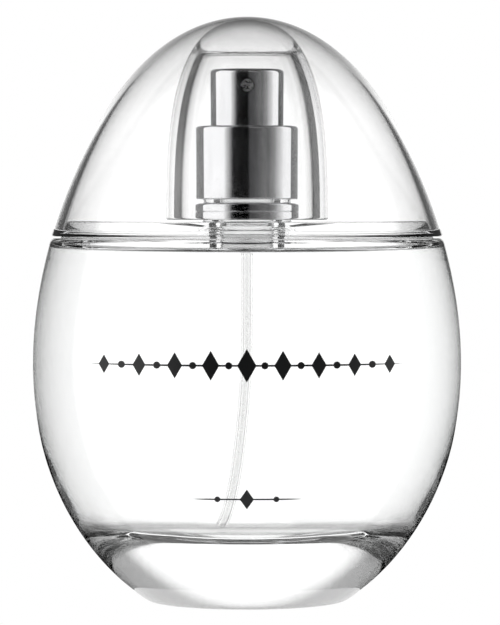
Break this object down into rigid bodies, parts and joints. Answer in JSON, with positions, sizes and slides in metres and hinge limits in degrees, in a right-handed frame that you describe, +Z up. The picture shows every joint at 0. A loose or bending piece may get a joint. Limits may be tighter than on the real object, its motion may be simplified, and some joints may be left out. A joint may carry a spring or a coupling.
{
  "type": "perfume bottle",
  "caption": "Egg-shaped clear glass perfume bottle with a heavy base, a clear domed cap with a thick clear liner, and a polished press-down spray pump.",
  "frame": {"origin": "centre of the foot, on the surface the bottle stands on", "axes": "+Z up the bottle's axis, and the spray nozzle faces -Y"},
  "size_m": [0.0706, 0.0706, 0.0957],
  "materials": {
    "clear_glass": "clear, fire polished",
    "fragrance": "clear colourless liquid",
    "clear_acrylic": "clear, polished",
    "polished_metal": "polished silver aluminium",
    "nozzle_plastic": "matt grey",
    "clear_tubing": "clear flexible plastic",
    "white_plastic": "satin white",
    "black_print": "black fired print, added as thin marks on the glass"
  },
  "bodies": {
    "bottle_body": {"bottle": "clear_glass", "liquid": "fragrance", "dip_tube": "clear_tubing", "pump_body": "white_plastic", "collar_ring": "polished_metal", "collar": "polished_metal", "cap": "clear_acrylic", "cap_liner": "clear_acrylic"},
    "button_body": {"spray_button": "polished_metal", "nozzle": "nozzle_plastic"}
  },
  "joints": [
    {"name": "press_button", "type": "slide", "parent": "bottle_body", "child": "button_body", "axis": [0, 0, -1], "range_m": [0, 0.0045], "stiffness_N_per_m": 900, "springref_m": -0.003}
  ]
}
